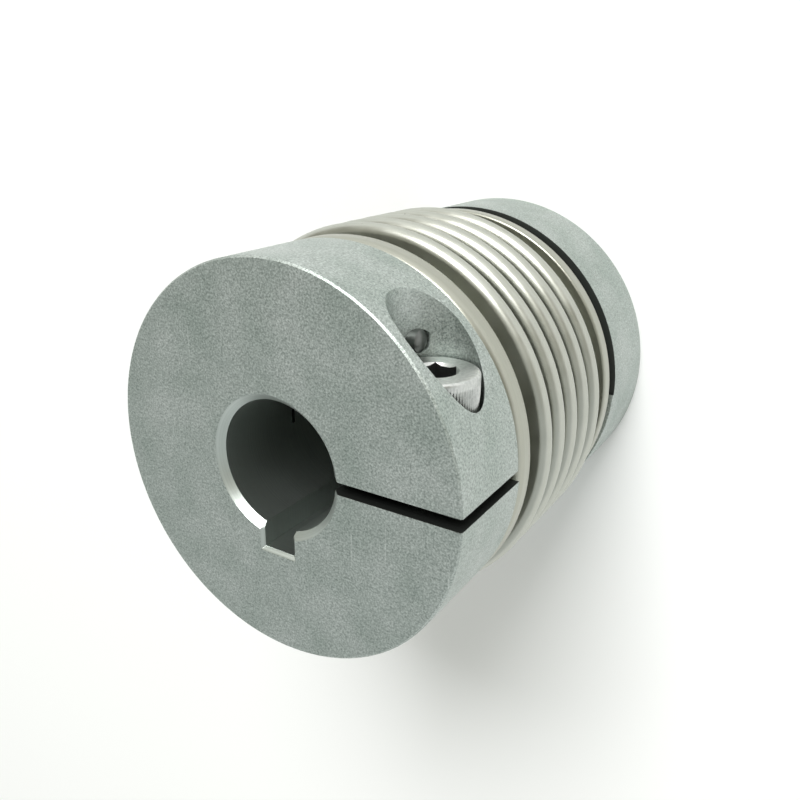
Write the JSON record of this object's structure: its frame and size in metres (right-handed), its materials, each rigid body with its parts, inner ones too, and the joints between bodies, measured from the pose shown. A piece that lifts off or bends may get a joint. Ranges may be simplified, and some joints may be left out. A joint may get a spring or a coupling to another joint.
{
  "type": "metal bellows coupling",
  "caption": "Metal bellows shaft coupling: slotted clamp hubs with keyed bores, joined by a thin corrugated steel bellows and closed by socket cap screws.",
  "frame": {"origin": "centre of the rear hub's outer face, on which the coupling stands", "axes": "+Z along the shaft axis to the front hub's outer face, +X to the slot of the front hub, +Y to the head of its clamp screw"},
  "size_m": [0.0686, 0.0686, 0.0809],
  "materials": {
    "hub_aluminium": "tumbled matt",
    "bellows_stainless": "bright rolled",
    "ring_stainless": "turned",
    "screw_steel": "zinc plated, satin",
    "pin_steel": "hardened, dark"
  },
  "bodies": {
    "root": {"front_hub": "hub_aluminium", "rear_hub": "hub_aluminium", "bellows": "bellows_stainless", "front_ring": "ring_stainless", "rear_ring": "ring_stainless", "front_clamp_screw": "screw_steel", "rear_clamp_screw": "screw_steel", "front_release_pin": "pin_steel", "rear_release_pin": "pin_steel"}
  },
  "joints": []
}
